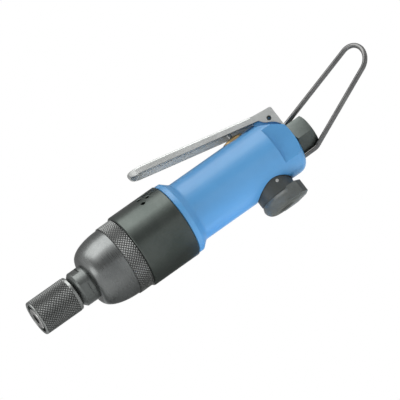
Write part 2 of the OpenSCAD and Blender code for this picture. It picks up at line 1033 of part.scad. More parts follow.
module channel(half, height) {
    translate([-lever_len + lever_w / 2, -half, 0])
        cube([lever_len - lever_w / 2 - lever_back, 2 * half, height]);
    translate([-lever_len + lever_w / 2, 0, 0])
        cylinder(h = height, r = half);
}

module ear(side) {
    mirror([0, side, 0])
        translate([0, lever_w / 2, 0])
            rotate([90, 0, 0])
                linear_extrude(height = lever_t)
                    polygon([ear_front, [ear_back, ear_top_back], [ear_back, -ear_low],
                        ear_heel, ear_belly, ear_toe]);
}

module lever() {
    color(bright_steel)
        translate([pin_x, 0, pin_z])
            difference() {
                union() {
                    rotate([0, lever_slope, 0])
                        difference() {
                            translate([0, 0, lever_top - skirt_h])
                                channel(lever_w / 2, skirt_h);
                            translate([over, 0, lever_top - skirt_h - over])
                                channel(lever_w / 2 - lever_t, skirt_h - lever_t + over);
                            difference() {
                                translate([-lever_len - over, -lever_w / 2, lever_top - skirt_h - over])
                                    cube([tip_cut_r + over, lever_w, tip_cut_r + over]);
                                translate([-lever_len + tip_cut_r, -lever_w, lever_top - skirt_h + tip_cut_r])
                                    rotate([-90, 0, 0])
                                        cylinder(h = 2 * lever_w, r = tip_cut_r);
                            }
                        }
                    ear(0);
                    ear(1);
                }
                translate([0, -lever_w, 0])
                    rotate([-90, 0, 0])
                        cylinder(h = 2 * lever_w, r = lever_pin_r + run);
            }
}

module lever_pin() {
    color(grey_steel)
        translate([pin_x, -lever_pin_half, pin_z])
            rotate([-90, 0, 0])
                cylinder(h = 2 * lever_pin_half, r = lever_pin_r);
}

module index_mark() {
    color(white_paint)
        translate([mark_x, -mark_out, mark_z])
            rotate([-90, 0, 0])
                cylinder(h = mark_out - mark_in, r = mark_r);
}

module reverse_knob() {
    color(dark_plastic)
        difference() {
            union() {
                post(knob_x, 0, knob_low + knob_round, knob_top, knob_r);
                translate([knob_x, 0, knob_low + knob_round])
                    rotate_extrude()
                        translate([knob_r - knob_round, 0])
                            circle(r = knob_round);
                post(knob_x, 0, knob_low, knob_low + knob_round, knob_r - knob_round);
                translate([knob_x, 0, pointer_low])
                    linear_extrude(height = pointer_top - pointer_low)
                        polygon([[0, -pointer_half], [pointer_knee, -pointer_half],
                            [pointer_tip, -pointer_tip_half], [pointer_tip, pointer_tip_half],
                            [pointer_knee, pointer_half], [0, pointer_half]]);
            }
            translate([knob_x - tang / 2, -tang / 2, tang_low])
                cube([tang, tang, knob_top - tang_low + over]);
            post(knob_x, 0, knob_low, tang_low + over, screw_r + run);
            post(knob_x, 0, knob_low - over, screw_seat_z, screw_sink_r);
            translate([knob_x, 0, detent_z])
                rotate([0, 0, 90 - knob_turn - detent_margin])
                    rotate_extrude(angle = 2 * (knob_turn + detent_margin))
                        translate([detent_y, 0])
                            circle(r = detent_r + run);
            translate([mark_x, -knob_r - over, mark_z])
                rotate([-90, 0, 0])
                    cylinder(h = knob_r + over - mark_in, r = mark_r);
        }
}

module knob_screw() {
    color(black_steel)
        difference() {
            union() {
                post(knob_x, 0, screw_seat_z - screw_head_t, screw_seat_z, screw_head_r);
                post(knob_x, 0, screw_seat_z, screw_top_z, screw_r);
            }
            translate([knob_x, 0, screw_seat_z - screw_head_t - over])
                cylinder(h = screw_head_t / 2 + over, r = screw_key_af / 2 / cos(30), $fn = 6);
        }
}

module reverse_spool() {
    color(bright_steel)
        difference() {
            union() {
                post(knob_x, 0, knob_top, valve_bush_top + gap, spool_r);
                post(knob_x, 0, valve_bush_top + gap, valve_bush_top + gap + spool_head_t, spool_head_r);
                translate([knob_x - tang / 2, -tang / 2, tang_low])
                    cube([tang, tang, knob_top - tang_low]);
            }
            post(knob_x, 0, spool_hollow_z, spool_room_z, spool_hollow_r);
            post(knob_x, 0, tang_low - over, screw_top_z, screw_r);
            strut([knob_x, 0, port_z], [knob_x - spool_r - over, 0, port_z], port_r);
        }
}

module reverse_bush() {
    color(brass)
        difference() {
            post(knob_x, 0, knob_pocket_z, valve_bush_top, valve_bush_r);
            post(knob_x, 0, knob_pocket_z - over, valve_bush_top + over, spool_r + run);
            motor_ports(port_r);
        }
}

module detent_ball() {
    color(bright_steel)
        translate([knob_x, detent_y, detent_z])
            sphere(r = detent_r);
}

module detent_spring() {
    color(grey_steel)
        translate([knob_x, detent_y, detent_z + detent_r])
            coil(detent_coil_r, detent_wire, detent_top - detent_z - detent_r, detent_coils);
}

module inlet_bushing() {
    color(black_steel)
        translate([0, 0, inlet_z])
            difference() {
                union() {
                    rod_x(shank_x, hex_x, shank_r);
                    intersection() {
                        translate([hex_x, 0, 0])
                            rotate([hex_turn, 0, 0])
                                rotate([0, 90, 0])
                                    rotate([0, 0, 30])
                                        cylinder(h = hex_end - hex_x, r = inlet_af / 2 / cos(30), $fn = 6);
                        union() {
                            rod_x(hex_x, hex_end - hex_bevel, inlet_af);
                            cone_x(hex_end - hex_bevel, inlet_af / 2 / cos(30) + hex_bevel * tan(30),
                                hex_end, inlet_af / 2);
                        }
                    }
                }
                rod_x(port_x, hex_end + over, port_d / 2);
                rod_x(rim_seat_x, port_x + over, rim_seat_r);
                rod_x(shank_x - over, rim_seat_x + over, strainer_hole_r);
            }
}

module inlet_seal() {
    color(rubber)
        translate([0, 0, inlet_z])
            ring_x(tail_x, hex_x, inlet_seal_r, shank_r);
}

module inlet_strainer() {
    color(bright_steel)
        translate([0, 0, inlet_z])
            difference() {
                union() {
                    rod_x(strainer_x, rim_seat_x, strainer_r);
                    rod_x(rim_seat_x, port_x, rim_seat_r);
                }
                rod_x(strainer_x + strainer_end_t, port_x + over, strainer_in);
            }
}

module hanger_legs(x1, x2) {
    for (side = [-1, 1])
        translate([0, side * leg_r * sin(leg_turn), inlet_z + side * leg_r * cos(leg_turn)])
            rod_x(x1, x2, wire_r);
}

function leg_point(side) = [bend_x, side * leg_r * sin(leg_turn), inlet_z + side * leg_r * cos(leg_turn)];

function along_loop(s) = [s * cos(loop_tilt), -s * sin(loop_tilt) * cos(loop_turn),
    s * sin(loop_tilt) * sin(loop_turn)];

function loop_point(side) = [bend_x, side * loop_r * sin(leg_turn), inlet_z + side * loop_r * cos(leg_turn)]
    + along_loop(loop_len);

module hanger() {
    color(grey_steel) {
        hanger_legs(leg_x, bend_x);
        for (side = [-1, 1]) {
            translate(leg_point(side))
                sphere(r = bend_r);
            strut(leg_point(side), loop_point(side), wire_r);
            translate(loop_point(side))
                sphere(r = bend_r);
        }
        loop_end();
    }
}

// half ring that joins the two legs, in the plane of the legs and the loop axis
module loop_end() {
    t = [0, sin(leg_turn), cos(leg_turn)];
    s = along_loop(1);
    n = cross(t, s) / norm(cross(t, s));
    u = cross(n, t);
    c = [bend_x, 0, inlet_z] + along_loop(loop_len);
    multmatrix([[t[0], u[0], n[0], c[0]], [t[1], u[1], n[1], c[1]], [t[2], u[2], n[2], c[2]], [0, 0, 0, 1]])
        rotate_extrude(angle = 180)
            translate([loop_r, 0])
                circle(r = wire_r);
}

hammer_case();
front_bush();
spindle();
retaining_rings();
lock_ball();
bit_sleeve();
sleeve_spring();
hammer_cage();
hammer_pins();
hammer_front();
hammer_rear();
rotor();
vanes();
inner_races();
outer_races();
bearing_balls();
liner();
liner_pin();
front_end_plate();
rear_end_plate();
housing();
exhaust_collar();
collar_seals();
throttle_bushing();
valve_seat();
throttle_stem();
valve_ball();
throttle_spring();
lever();
lever_pin();
reverse_knob();
index_mark();
knob_screw();
reverse_spool();
reverse_bush();
detent_ball();
detent_spring();
inlet_bushing();
inlet_seal();
inlet_strainer();
hanger();
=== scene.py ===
import json
import math
import bpy
from mathutils import Matrix, Vector


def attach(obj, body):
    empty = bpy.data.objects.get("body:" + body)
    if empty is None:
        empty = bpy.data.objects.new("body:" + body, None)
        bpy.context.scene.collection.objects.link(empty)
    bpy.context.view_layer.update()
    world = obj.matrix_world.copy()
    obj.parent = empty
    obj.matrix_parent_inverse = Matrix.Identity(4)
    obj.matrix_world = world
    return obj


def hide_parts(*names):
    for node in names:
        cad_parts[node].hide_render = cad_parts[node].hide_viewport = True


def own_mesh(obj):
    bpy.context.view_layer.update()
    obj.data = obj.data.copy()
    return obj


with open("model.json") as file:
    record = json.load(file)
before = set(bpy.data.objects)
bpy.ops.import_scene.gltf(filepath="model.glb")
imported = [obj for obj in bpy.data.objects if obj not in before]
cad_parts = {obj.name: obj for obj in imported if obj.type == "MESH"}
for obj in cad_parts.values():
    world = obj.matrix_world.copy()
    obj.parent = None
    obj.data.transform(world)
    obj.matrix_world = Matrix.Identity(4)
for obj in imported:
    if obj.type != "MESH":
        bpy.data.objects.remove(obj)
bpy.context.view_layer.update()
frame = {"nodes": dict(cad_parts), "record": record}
scene = bpy.context.scene
ops = bpy.ops
mesh_ops = bpy.ops.mesh

# Pieces are given in millimetres and degrees, materials and the stage in metres
MM = 0.001
QUARTER_TURN = math.pi / 2
THROTTLE_X = 163.2
KNOB_X = 165.3
PIN_X, PIN_Z = 187.5, 17.1
LEVER_SLOPE = 11.31
FORK_HALF = 8.2
INLET_Z = -2.4
LEG_HOLES = ((6.56, 10.14), (-6.56, -14.14))
KNURL_HEIGHT = 0.46
KNURL_LEAST_RADIUS = 10.8


# Materials

def add_node(tree, kind, **options):
    node = tree.nodes.new("ShaderNode" + kind)
    for option, value in options.items():
        setattr(node, option, value)
    return node


def set_inputs(node, values):
    for label, value in values.items():
        node.inputs[label].default_value = value


def join(tree, *pairs):
    """Links each output to its input."""
    for source, target in pairs:
        tree.links.new(source, target)


def new_material(name):
    """A material with its node tree and its main shader."""
    material = bpy.data.materials.new(name)
    material.use_nodes = True
    return material, material.node_tree, material.node_tree.nodes["Principled BSDF"]


def effect_group(name, inputs, outputs):
    group = bpy.data.node_groups.new(name, "ShaderNodeTree")
    for direction, sockets in (("INPUT", inputs), ("OUTPUT", outputs)):
        for label, kind in sockets.items():
            group.interface.new_socket(label, in_out=direction, socket_type="NodeSocket" + kind)
    return group, group.nodes.new("NodeGroupInput"), group.nodes.new("NodeGroupOutput")


def noise(tree, vector, scale, detail):
    node = add_node(tree, "TexNoise")
    set_inputs(node, {"Detail": detail})
    join(tree, (vector, node.inputs["Vector"]), (scale, node.inputs["Scale"]))
    return node.outputs["Fac"]


def tone_group():
    """Slow and fine change of tone, for every finish."""
    fine_share = 0.35
    group, enter, leave = effect_group(
        "ToneChange", {"Dark": "Color", "Light": "Color", "Slow Scale": "Float", "Fine Scale": "Float"},
        {"Color": "Color"})
    place = add_node(group, "TexCoord").outputs["Object"]
    slow = noise(group, place, enter.outputs["Slow Scale"], 3.0)
    fine = noise(group, place, enter.outputs["Fine Scale"], 2.0)
    both = add_node(group, "Math", operation="MULTIPLY_ADD")
    both.inputs[1].default_value = fine_share
    span = add_node(group, "MapRange")
    set_inputs(span, {"From Min": 0.45, "From Max": 0.9})
    mix = add_node(group, "Mix", data_type="RGBA")
    join(group, (fine, both.inputs[0]), (slow, both.inputs[2]), (both.outputs[0], span.inputs["Value"]),
         (span.outputs["Result"], mix.inputs["Factor"]), (enter.outputs["Dark"], mix.inputs["A"]),
         (enter.outputs["Light"], mix.inputs["B"]), (mix.outputs["Result"], leave.inputs["Color"]))
    return group


def grain_group():
    """Directional grain: stretched noise that gives roughness and a normal."""
    group, enter, leave = effect_group(
        "WorkedGrain",
        {"Stretch": "Vector", "Scale": "Float", "Low": "Float", "High": "Float", "Depth": "Float"},
        {"Roughness": "Float", "Normal": "Vector"})
    place = add_node(group, "TexCoord").outputs["Object"]
    stretch = add_node(group, "VectorMath", operation="MULTIPLY")
    join(group, (place, stretch.inputs[0]), (enter.outputs["Stretch"], stretch.inputs[1]))
    grain = noise(group, stretch.outputs[0], enter.outputs["Scale"], 4.0)
    rough = add_node(group, "MapRange")
    set_inputs(rough, {"From Min": 0.3, "From Max": 0.7})
    bump = add_node(group, "Bump")
    set_inputs(bump, {"Distance": 0.0001})
    join(group, (grain, rough.inputs["Value"]), (enter.outputs["Low"], rough.inputs["To Min"]),
         (enter.outputs["High"], rough.inputs["To Max"]), (enter.outputs["Depth"], bump.inputs["Strength"]),
         (grain, bump.inputs["Height"]), (rough.outputs["Result"], leave.inputs["Roughness"]),
         (bump.outputs["Normal"], leave.inputs["Normal"]))
    return group


def painted_valley_shade_group():
    """Painted shade: darker colour between the points of a knurl, by the distance from the tool's axis in
    metres.
    """
    deepest_shade = 0.2
    group, enter, leave = effect_group(
        "KnurlValleys", {"Color": "Color", "Low Radius": "Float", "High Radius": "Float"}, {"Color": "Color"})
    place = add_node(group, "TexCoord").outputs["Object"]
    across = add_node(group, "VectorMath", operation="MULTIPLY")
    across.inputs[1].default_value = (0, 1, 1)
    radius = add_node(group, "VectorMath", operation="LENGTH")
    span = add_node(group, "MapRange")
    set_inputs(span, {"To Min": deepest_shade})
    mix = add_node(group, "Mix", data_type="RGBA", blend_type="MULTIPLY")
    set_inputs(mix, {"Factor": 1.0})
    join(group, (place, across.inputs[0]), (across.outputs[0], radius.inputs[0]),
         (radius.outputs["Value"], span.inputs["Value"]),
         (enter.outputs["Low Radius"], span.inputs["From Min"]),
         (enter.outputs["High Radius"], span.inputs["From Max"]), (enter.outputs["Color"], mix.inputs["A"]),
         (span.outputs["Result"], mix.inputs["B"]), (mix.outputs["Result"], leave.inputs["Color"]))
    return group


TONE, GRAIN, PAINTED_VALLEY_SHADE = tone_group(), grain_group(), painted_valley_shade_group()
PLASTIC_IOR = 1.5
EVEN = (1, 1, 1)
TURNED = (1.0, 0.04, 0.04)
ALONG = (0.05, 1.0, 1.0)
UPRIGHT = (0.1, 0.1, 1)


def finish(name, dark, light, metallic, rough, depth=0.1, stretch=EVEN, scale=1500.0,
           slow=60.0, fine=900.0, coat=0.0, coat_rough=0.1, valley_shade_radii=None):
    """A finish between two colours, with its least and most roughness and the depth of its grain."""
    material, tree, shader = new_material(name)
    set_inputs(shader, {"Metallic": metallic, "Coat Weight": coat, "Coat Roughness": coat_rough,
                        "IOR": PLASTIC_IOR})
    tone = add_node(tree, "Group", node_tree=TONE)
    set_inputs(tone, {"Dark": (*dark, 1), "Light": (*light, 1), "Slow Scale": slow, "Fine Scale": fine})
    grain = add_node(tree, "Group", node_tree=GRAIN)
    set_inputs(grain, {"Stretch": stretch, "Scale": scale, "Low": rough[0], "High": rough[1], "Depth": depth})
    colour = tone.outputs["Color"]
    # Painted shade: a knurled finish is darkened in its valleys, nearer the axis.
    if valley_shade_radii:
        shade = add_node(tree, "Group", node_tree=PAINTED_VALLEY_SHADE)
        set_inputs(shade, {"Low Radius": valley_shade_radii[0], "High Radius": valley_shade_radii[1]})
        join(tree, (colour, shade.inputs["Color"]))
        colour = shade.outputs["Color"]
    join(tree, (colour, shader.inputs["Base Color"]), (grain.outputs["Normal"], shader.inputs["Normal"]),
         (grain.outputs["Roughness"], shader.inputs["Roughness"]))
    return material


FINISH = {
    "black_steel": finish("black_oxide_steel", (0.068, 0.08, 0.073), (0.095, 0.107, 0.099), 0.95,
                          (0.28, 0.36), 0.03, TURNED, 2600.0),
    "dome_steel": finish("polished_oxide_steel", (0.15, 0.158, 0.156), (0.21, 0.218, 0.215), 1.0,
                         (0.25, 0.34), 0.02, TURNED, 2600.0),
    "nose_steel": finish("turned_nose_steel", (0.12, 0.13, 0.125), (0.17, 0.18, 0.175), 0.95,
                         (0.32, 0.42), 0.03, TURNED),
    "band_steel": finish("knurled_band_steel", (0.37, 0.38, 0.37), (0.47, 0.48, 0.47), 0.95,
                         (0.25, 0.35), 0.04, valley_shade_radii=(0.02308, 0.0234)),
    "inlet_steel": finish("grey_oxide_steel", (0.08, 0.092, 0.086), (0.12, 0.136, 0.128), 0.9,
                          (0.28, 0.4), 0.05, ALONG),
    "grey_steel": finish("ground_steel", (0.36, 0.37, 0.37), (0.48, 0.49, 0.49), 1.0,
                         (0.25, 0.4), 0.05, TURNED),
    "bright_steel": finish("polished_steel", (0.42, 0.42, 0.41), (0.52, 0.52, 0.51), 1.0,
                           (0.2, 0.32), 0.03, TURNED),
    "sleeve_steel": finish("knurled_steel", (0.27, 0.28, 0.275), (0.36, 0.37, 0.36), 0.95,
                           (0.25, 0.35), 0.04, valley_shade_radii=(0.01118, 0.0115)),
    "lip_steel": finish("turned_lip_steel", (0.22, 0.23, 0.225), (0.3, 0.31, 0.3), 0.95,
                        (0.25, 0.35), 0.04, TURNED),
    "lever_steel": finish("stamped_steel", (0.56, 0.575, 0.56), (0.65, 0.665, 0.65), 0.8,
                          (0.36, 0.46), 0.05, ALONG, 1800.0),
    # Painted light: a lighter, less metallic copy of the lever's steel for the shaded inside of its channel.
    "painted_light_inner_steel": finish("plated_inner_face", (0.72, 0.73, 0.71), (0.84, 0.85, 0.83), 0.15,
                           (0.4, 0.55), 0.05, ALONG),
    "wire_steel": finish("drawn_wire_steel", (0.14, 0.14, 0.138), (0.21, 0.21, 0.206), 0.95,
                         (0.22, 0.32), 0.03, ALONG),
    "blue_metal": finish("blue_coated_metal", (0.086, 0.305, 0.6), (0.104, 0.345, 0.66), 0.0,
                         (0.3, 0.4), 0.03, EVEN, 2400.0, slow=40.0, fine=1500.0, coat=0.3, coat_rough=0.22),
    "brass": finish("turned_brass", (0.46, 0.32, 0.15), (0.62, 0.46, 0.24), 1.0, (0.3, 0.44), 0.05, UPRIGHT),
    "bronze": finish("sintered_bronze", (0.42, 0.24, 0.1), (0.58, 0.36, 0.17), 0.9, (0.4, 0.6)),
    "dark_plastic": finish("dark_moulded_plastic", (0.04, 0.045, 0.043), (0.06, 0.066, 0.064), 0.0,
                           (0.36, 0.48), 0.08),
    # Painted light: a lighter, coated copy of the knob's dark plastic.
    "painted_lit_plastic": finish("handled_moulded_plastic", (0.088, 0.096, 0.09), (0.132, 0.142, 0.134), 0.0,
                              (0.26, 0.36), 0.08, coat=0.2, coat_rough=0.2),
    "rubber": finish("black_rubber", (0.015, 0.015, 0.015), (0.03, 0.03, 0.03), 0.0, (0.6, 0.8)),
    "white_paint": finish("worn_white_paint", (0.3, 0.3, 0.29), (0.5, 0.5, 0.48), 0.0, (0.35, 0.5), 0.05),
    "resin": finish("pressed_fibre", (0.28, 0.17, 0.09), (0.42, 0.28, 0.16), 0.0, (0.5, 0.7), 0.1, ALONG),
}


def dress_cad_nodes():
    """Gives each CAD node the finish of its slot. The stem is greyer, as in the photograph."""
    slots = {part["node"]: part["material_slot"] for part in frame["record"]["subparts"]}
    slots["throttle_stem"] = "grey_steel"
    for node in frame["nodes"].values():
        material = FINISH[slots[node.name]]
        if not node.material_slots:
            node.data.materials.append(material)
        for slot in node.material_slots:
            slot.material = material


dress_cad_nodes()


# Modelling

def leave_edit():
    ops.object.mode_set(mode="OBJECT")


def pick_none():
    if bpy.context.mode != "OBJECT":
        leave_edit()
    ops.object.select_all(action="DESELECT")


def pick(piece):
    pick_none()
    piece.select_set(True)
    bpy.context.view_layer.objects.active = piece


def edit(piece, kind, action):
    """Opens a piece for editing, with all or none of it selected."""
    pick(piece)
    ops.object.mode_set(mode="EDIT")
    mesh_ops.select_mode(type=kind)
    mesh_ops.select_all(action=action)


def pick_where(piece, kind, test):
    """Selects the vertices, edges or faces of a piece that pass the test, and leaves it open."""
    edit(piece, kind, "DESELECT")
    leave_edit()
    mesh = piece.data
    if kind == "VERT":
        for corner in mesh.vertices:
            corner.select = test(corner.co / MM)
    elif kind == "EDGE":
        for edge in mesh.edges:
            a, b = (mesh.vertices[i].co / MM for i in edge.vertices)
            edge.select = test(a, b)
    else:
        for face in mesh.polygons:
            face.select = test(face.center / MM, face.normal)
    ops.object.mode_set(mode="EDIT")


def settle(piece):
    """Puts the piece's place, turn and scale into its mesh."""
    pick(piece)
    ops.object.transform_apply(location=True, rotation=True, scale=True)
    return piece


def outward(piece):
    """Merges doubles and turns all faces outwards."""
    edit(piece, "VERT", "SELECT")
    mesh_ops.remove_doubles(threshold=0.002 * MM)
    mesh_ops.normals_make_consistent(inside=False)
    leave_edit()


def draw_out(move):
    """Extrudes what is selected by a move in millimetres."""
    mesh_ops.extrude_region_move(TRANSFORM_OT_translate={"value": [c * MM for c in move]})


def keep_modifier(piece, modifier):
    pick(piece)
    ops.object.modifier_apply(modifier=modifier.name)


def combine(piece, tool, how):
    """Cuts, joins or crosses a piece with a tool body, which is used up."""
    step = piece.modifiers.new(how.lower(), "BOOLEAN")
    step.operation = how
    step.solver = "EXACT"
    step.object = tool
    keep_modifier(piece, step)
    bpy.data.objects.remove(tool, do_unlink=True)


def cut(piece, *cutters):
    for cutter in cutters:
        combine(piece, cutter, "DIFFERENCE")


def round_edges(piece, width, segments, test):
    """Rounds the edges of a piece whose two ends pass the test."""
    pick_where(piece, "EDGE", test)
    mesh_ops.bevel(offset=width * MM, segments=segments, affect="EDGES")
    leave_edit()


def break_edges(piece, width, segments, angle):
    """Breaks every edge that is sharper than the angle."""
    step = piece.modifiers.new("broken_edges", "BEVEL")
    step.width = width * MM
    step.segments = segments
    step.limit_method = "ANGLE"
    step.angle_limit = math.radians(angle)
    step.miter_outer = "MITER_ARC"
    keep_modifier(piece, step)


def smooth(piece, angle):
    pick(piece)
    ops.object.shade_smooth_by_angle(angle=math.radians(angle))


def flatten(piece):
    """Keeps broad faces flat in shade beside their broken edges."""
    step = piece.modifiers.new("even_shade", "WEIGHTED_NORMAL")
    step.keep_sharp = True
    step.weight = 80
    keep_modifier(piece, step)


def done(piece, name, body, material, stands_for):
    """Names and finishes a piece and says which body it rides and which nodes it replaces."""
    piece.name = piece.data.name = name
    piece.data.materials.clear()
    piece.data.materials.append(FINISH[material])
    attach(piece, body)
    if stands_for:
        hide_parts(*stands_for)


def second_finish(piece, material, test):
    """Gives the faces that pass the test a finish of their own."""
    piece.data.materials.append(FINISH[material])
    pick_where(piece, "FACE", test)
    piece.active_material_index = len(piece.material_slots) - 1
    ops.object.material_slot_assign()
    leave_edit()


def off_axis(place):
    return math.hypot(place.y, place.z)


def ring_of_edges(x, r, sides):
    """An open circle round the tool's axis, left open for editing."""
    pick_none()
    mesh_ops.primitive_circle_add(vertices=sides, radius=r * MM, fill_type="NOTHING",
                                  location=(x * MM, 0, 0), rotation=(0, QUARTER_TURN, 0))
    piece = settle(bpy.context.object)
    edit(piece, "EDGE", "SELECT")
    return piece


def turn_up(name, stations, sides, loop=False):
    """A turned piece from (x, r) stations. The ends are closed, or joined to each other."""
    x0, r0 = stations[0]
    piece = ring_of_edges(x0, r0, sides)
    if not loop:
        mesh_ops.edge_face_add()
    for x, r in stations[1:] + ([stations[0]] if loop else []):
        draw_out((x - x0, 0, 0))
        if r != r0:
            ops.transform.resize(value=(1, r / r0, r / r0), center_override=(x * MM, 0, 0))
        x0, r0 = x, r
    piece.name = name
    outward(piece)
    return piece


def round_bar(x1, x2, r, sides, y, z):
    """A plain bar along the tool."""
    pick_none()
    mesh_ops.primitive_cylinder_add(vertices=sides, radius=r * MM, depth=(x2 - x1) * MM,
                                    location=((x1 + x2) / 2 * MM, y * MM, z * MM),
                                    rotation=(0, QUARTER_TURN, 0))
    return settle(bpy.context.object)


def cross_bar(x, y, z, r, length, sides):
    """A plain bar across the tool, by its middle."""
    pick_none()
    mesh_ops.primitive_cylinder_add(vertices=sides, radius=r * MM, depth=length * MM,
                                    location=(x * MM, y * MM, z * MM), rotation=(QUARTER_TURN, 0, 0))
    return settle(bpy.context.object)


def upright_bar(x, z1, z2, r, sides, r_top=None):
    """An upright bar, or a cone where its top has a radius of its own."""
    pick_none()
    mesh_ops.primitive_cone_add(vertices=sides, radius1=r * MM, radius2=(r if r_top is None else r_top) * MM,
                                depth=(z2 - z1) * MM, location=(x * MM, 0, (z1 + z2) / 2 * MM))
    return settle(bpy.context.object)


def block(low, high):
    pick_none()
    mesh_ops.primitive_cube_add(size=1, location=[(a + b) / 2 * MM for a, b in zip(low, high)])
    piece = bpy.context.object
    piece.scale = [(b - a) * MM for a, b in zip(low, high)]
    return settle(piece)


def plate(name, outline, side, depth):
    """A flat plate: its outline is drawn point by point, filled and pulled to its thickness."""
    pick_none()
    mesh_ops.primitive_plane_add(size=MM, location=[c * MM for c in outline[0]])
    piece = settle(bpy.context.object)
    piece.name = name
    edit(piece, "VERT", "SELECT")
    mesh_ops.merge(type="CENTER")
    for a, b in zip(outline, outline[1:]):
        draw_out([q - p for p, q in zip(a, b)])
    mesh_ops.select_all(action="SELECT")
    mesh_ops.edge_face_add()
    draw_out([c * depth for c in side])
    outward(piece)
    return piece


def arc(x, z, r, start, stop, steps):
    """Points of an arc, in degrees from +X towards +Z."""
    angles = [math.radians(start + (stop - start) * i / steps) for i in range(steps + 1)]
    return [(x + r * math.cos(angle), z + r * math.sin(angle)) for angle in angles]


def stand_up(piece, x):
    """Sets a piece that was turned along the tool upright at its place."""
    piece.matrix_world = Matrix.Translation((x * MM, 0, 0)) @ Matrix.Rotation(-QUARTER_TURN, 4, "Y")
    settle(piece)


# Bit holder and hammer case

def knurl_grid(x1, x2, rows, r):
    return [(x1 + (x2 - x1) * i / rows, r) for i in range(rows + 1)]


def raise_knurl(piece, x1, x2, rows, sides):
    """Pulls every other point of a fine grid out, so that it stands in small pyramids."""
    pitch = (x2 - x1) / rows

    def is_peak(point):
        if not x1 - 0.1 < point.x < x2 + 0.1:
            return False
        turn = round(math.atan2(point.z, point.y) / (2 * math.pi) * sides)
        row = round((point.x - x1) / pitch)
        return (turn + row) % 2 == 0 and off_axis(point) > KNURL_LEAST_RADIUS

    pick_where(piece, "VERT", is_peak)
    corners = piece.data.vertices
    middle = sum(corner.co.x for corner in corners) / len(corners)
    base = max(off_axis(corner.co) for corner in corners)
    scale = 1 + KNURL_HEIGHT * MM / base
    ops.transform.resize(value=(1, scale, scale), center_override=(middle, 0, 0))
    pick_where(piece, "FACE", lambda c, n: x1 < c.x < x2 and abs(n.x) < 0.8
               and off_axis(c) > KNURL_LEAST_RADIUS)
    mesh_ops.quads_convert_to_tris(quad_method="SHORTEST_DIAGONAL")
    leave_edit()


def make_bit_sleeve():
    """Knurled locking sleeve, with its rounded mouth and its stepped bore."""
    sides, rows, low = 72, 24, 11.12
    x1, x2 = 1.2, 25.6
    bore = [(27.8, 9.6), (27.8, 8.5), (27.6, 8.3), (20.6, 8.3), (20.6, 7.05), (12, 7.05), (12, 8.6),
            (2.4, 8.6), (2.2, 8.8), (2.2, 9.55), (0.4, 9.55), (0.05, 9.9)]
    piece = turn_up("bit_sleeve", arc(0.9, 10.55, 0.9, 180, 90, 5) + [(1.05, low + 0.1)]
                    + knurl_grid(x1, x2, rows, low) + [(25.7, 11.35), (25.9, 11.35)]
                    + arc(26.6, 10.2, 1.2, 75, 5, 5)[1:] + bore, sides, loop=True)
    raise_knurl(piece, x1, x2, rows, sides)
    smooth(piece, 20)
    done(piece, "sleeve_knurled", "sleeve", "sleeve_steel", ["bit_sleeve"])
    second_finish(piece, "lip_steel", lambda c, n: (c.x < 1.1 and off_axis(c) > 9.6) or c.x > 25.65)
    # Painted shade: the faces inside the bore get the darker nose steel.
    second_finish(piece, "nose_steel", lambda c, n: c.x < 20 and off_axis(c) < 9.6)


def dome_curve(x, length, r1, r2, steps):
    """Stations of the dome, closer together at its front, where it turns most."""
    shares = [(i / steps) ** 2 for i in range(1, steps + 1)]
    return [(x + length * t, r1 + (r2 - r1) * (1 - (1 - t) ** 2) ** 0.44) for t in shares]


def make_hammer_case():
    """Nose with four flats, drawn dome, turned seat of the collar and the bores behind it."""
    nose = [(28.4, 8.9), (28.5, 9.1), (30.8, 11.4), (31.1, 11.6), (38.6, 11.6), (38.8, 11.3), (39.1, 11.3),
            (39.3, 11.6), (39.3, 12.9), (39.32, 13.2)]
    seat = [(61.2, 22.75), (61.25, 22.4), (70.65, 22.4), (70.7, 22.35), (70.7, 22.2), (73.6, 22.2),
            (73.6, 20.6), (75.4, 20.6), (75.4, 22.2), (79.8, 22.2), (80, 22), (80, 20.4), (96, 20.4),
            (96.2, 20.2)]
    inside = [(96.2, 18.9), (52.5, 18.9), (49.5, 17), (49.5, 10.5), (46, 10.5), (46, 9), (29.4, 9),
              (29.4, 7.5), (28.6, 7.5), (28.4, 7.7)]
    piece = turn_up("hammer_case", nose + dome_curve(39.35, 21.65, 13.2, 22.8, 40) + seat + inside, 160,
                    loop=True)
    flat = block((31.4, -11.6, 10.5), (36.4, 11.6, 14))
    first_flat = 28.7
    for turn in range(4):
        cutter = flat.copy()
        cutter.data = flat.data.copy()
        scene.collection.objects.link(cutter)
        cutter.rotation_euler = (math.radians(first_flat + 90 * turn), 0, 0)
        cut(piece, settle(cutter))
    bpy.data.objects.remove(flat, do_unlink=True)
    smooth(piece, 30)
    done(piece, "case_shell", "tool", "dome_steel", ["hammer_case"])
    second_finish(piece, "nose_steel", lambda c, n: c.x < 39.2)


def make_grip_band():
    """Knurled band that is pressed on behind the dome."""
    sides, rows = 146, 9
    x1, x2 = 61.4, 70.5
    piece = turn_up("grip_band", [(61.25, 22.4), (61.25, 22.95)] + knurl_grid(x1, x2, rows, 23.02)
                    + [(70.65, 22.95), (70.65, 22.4)], sides, loop=True)
    raise_knurl(piece, x1, x2, rows, sides)
    smooth(piece, 20)
    done(piece, "case_band", "tool", "band_steel", None)


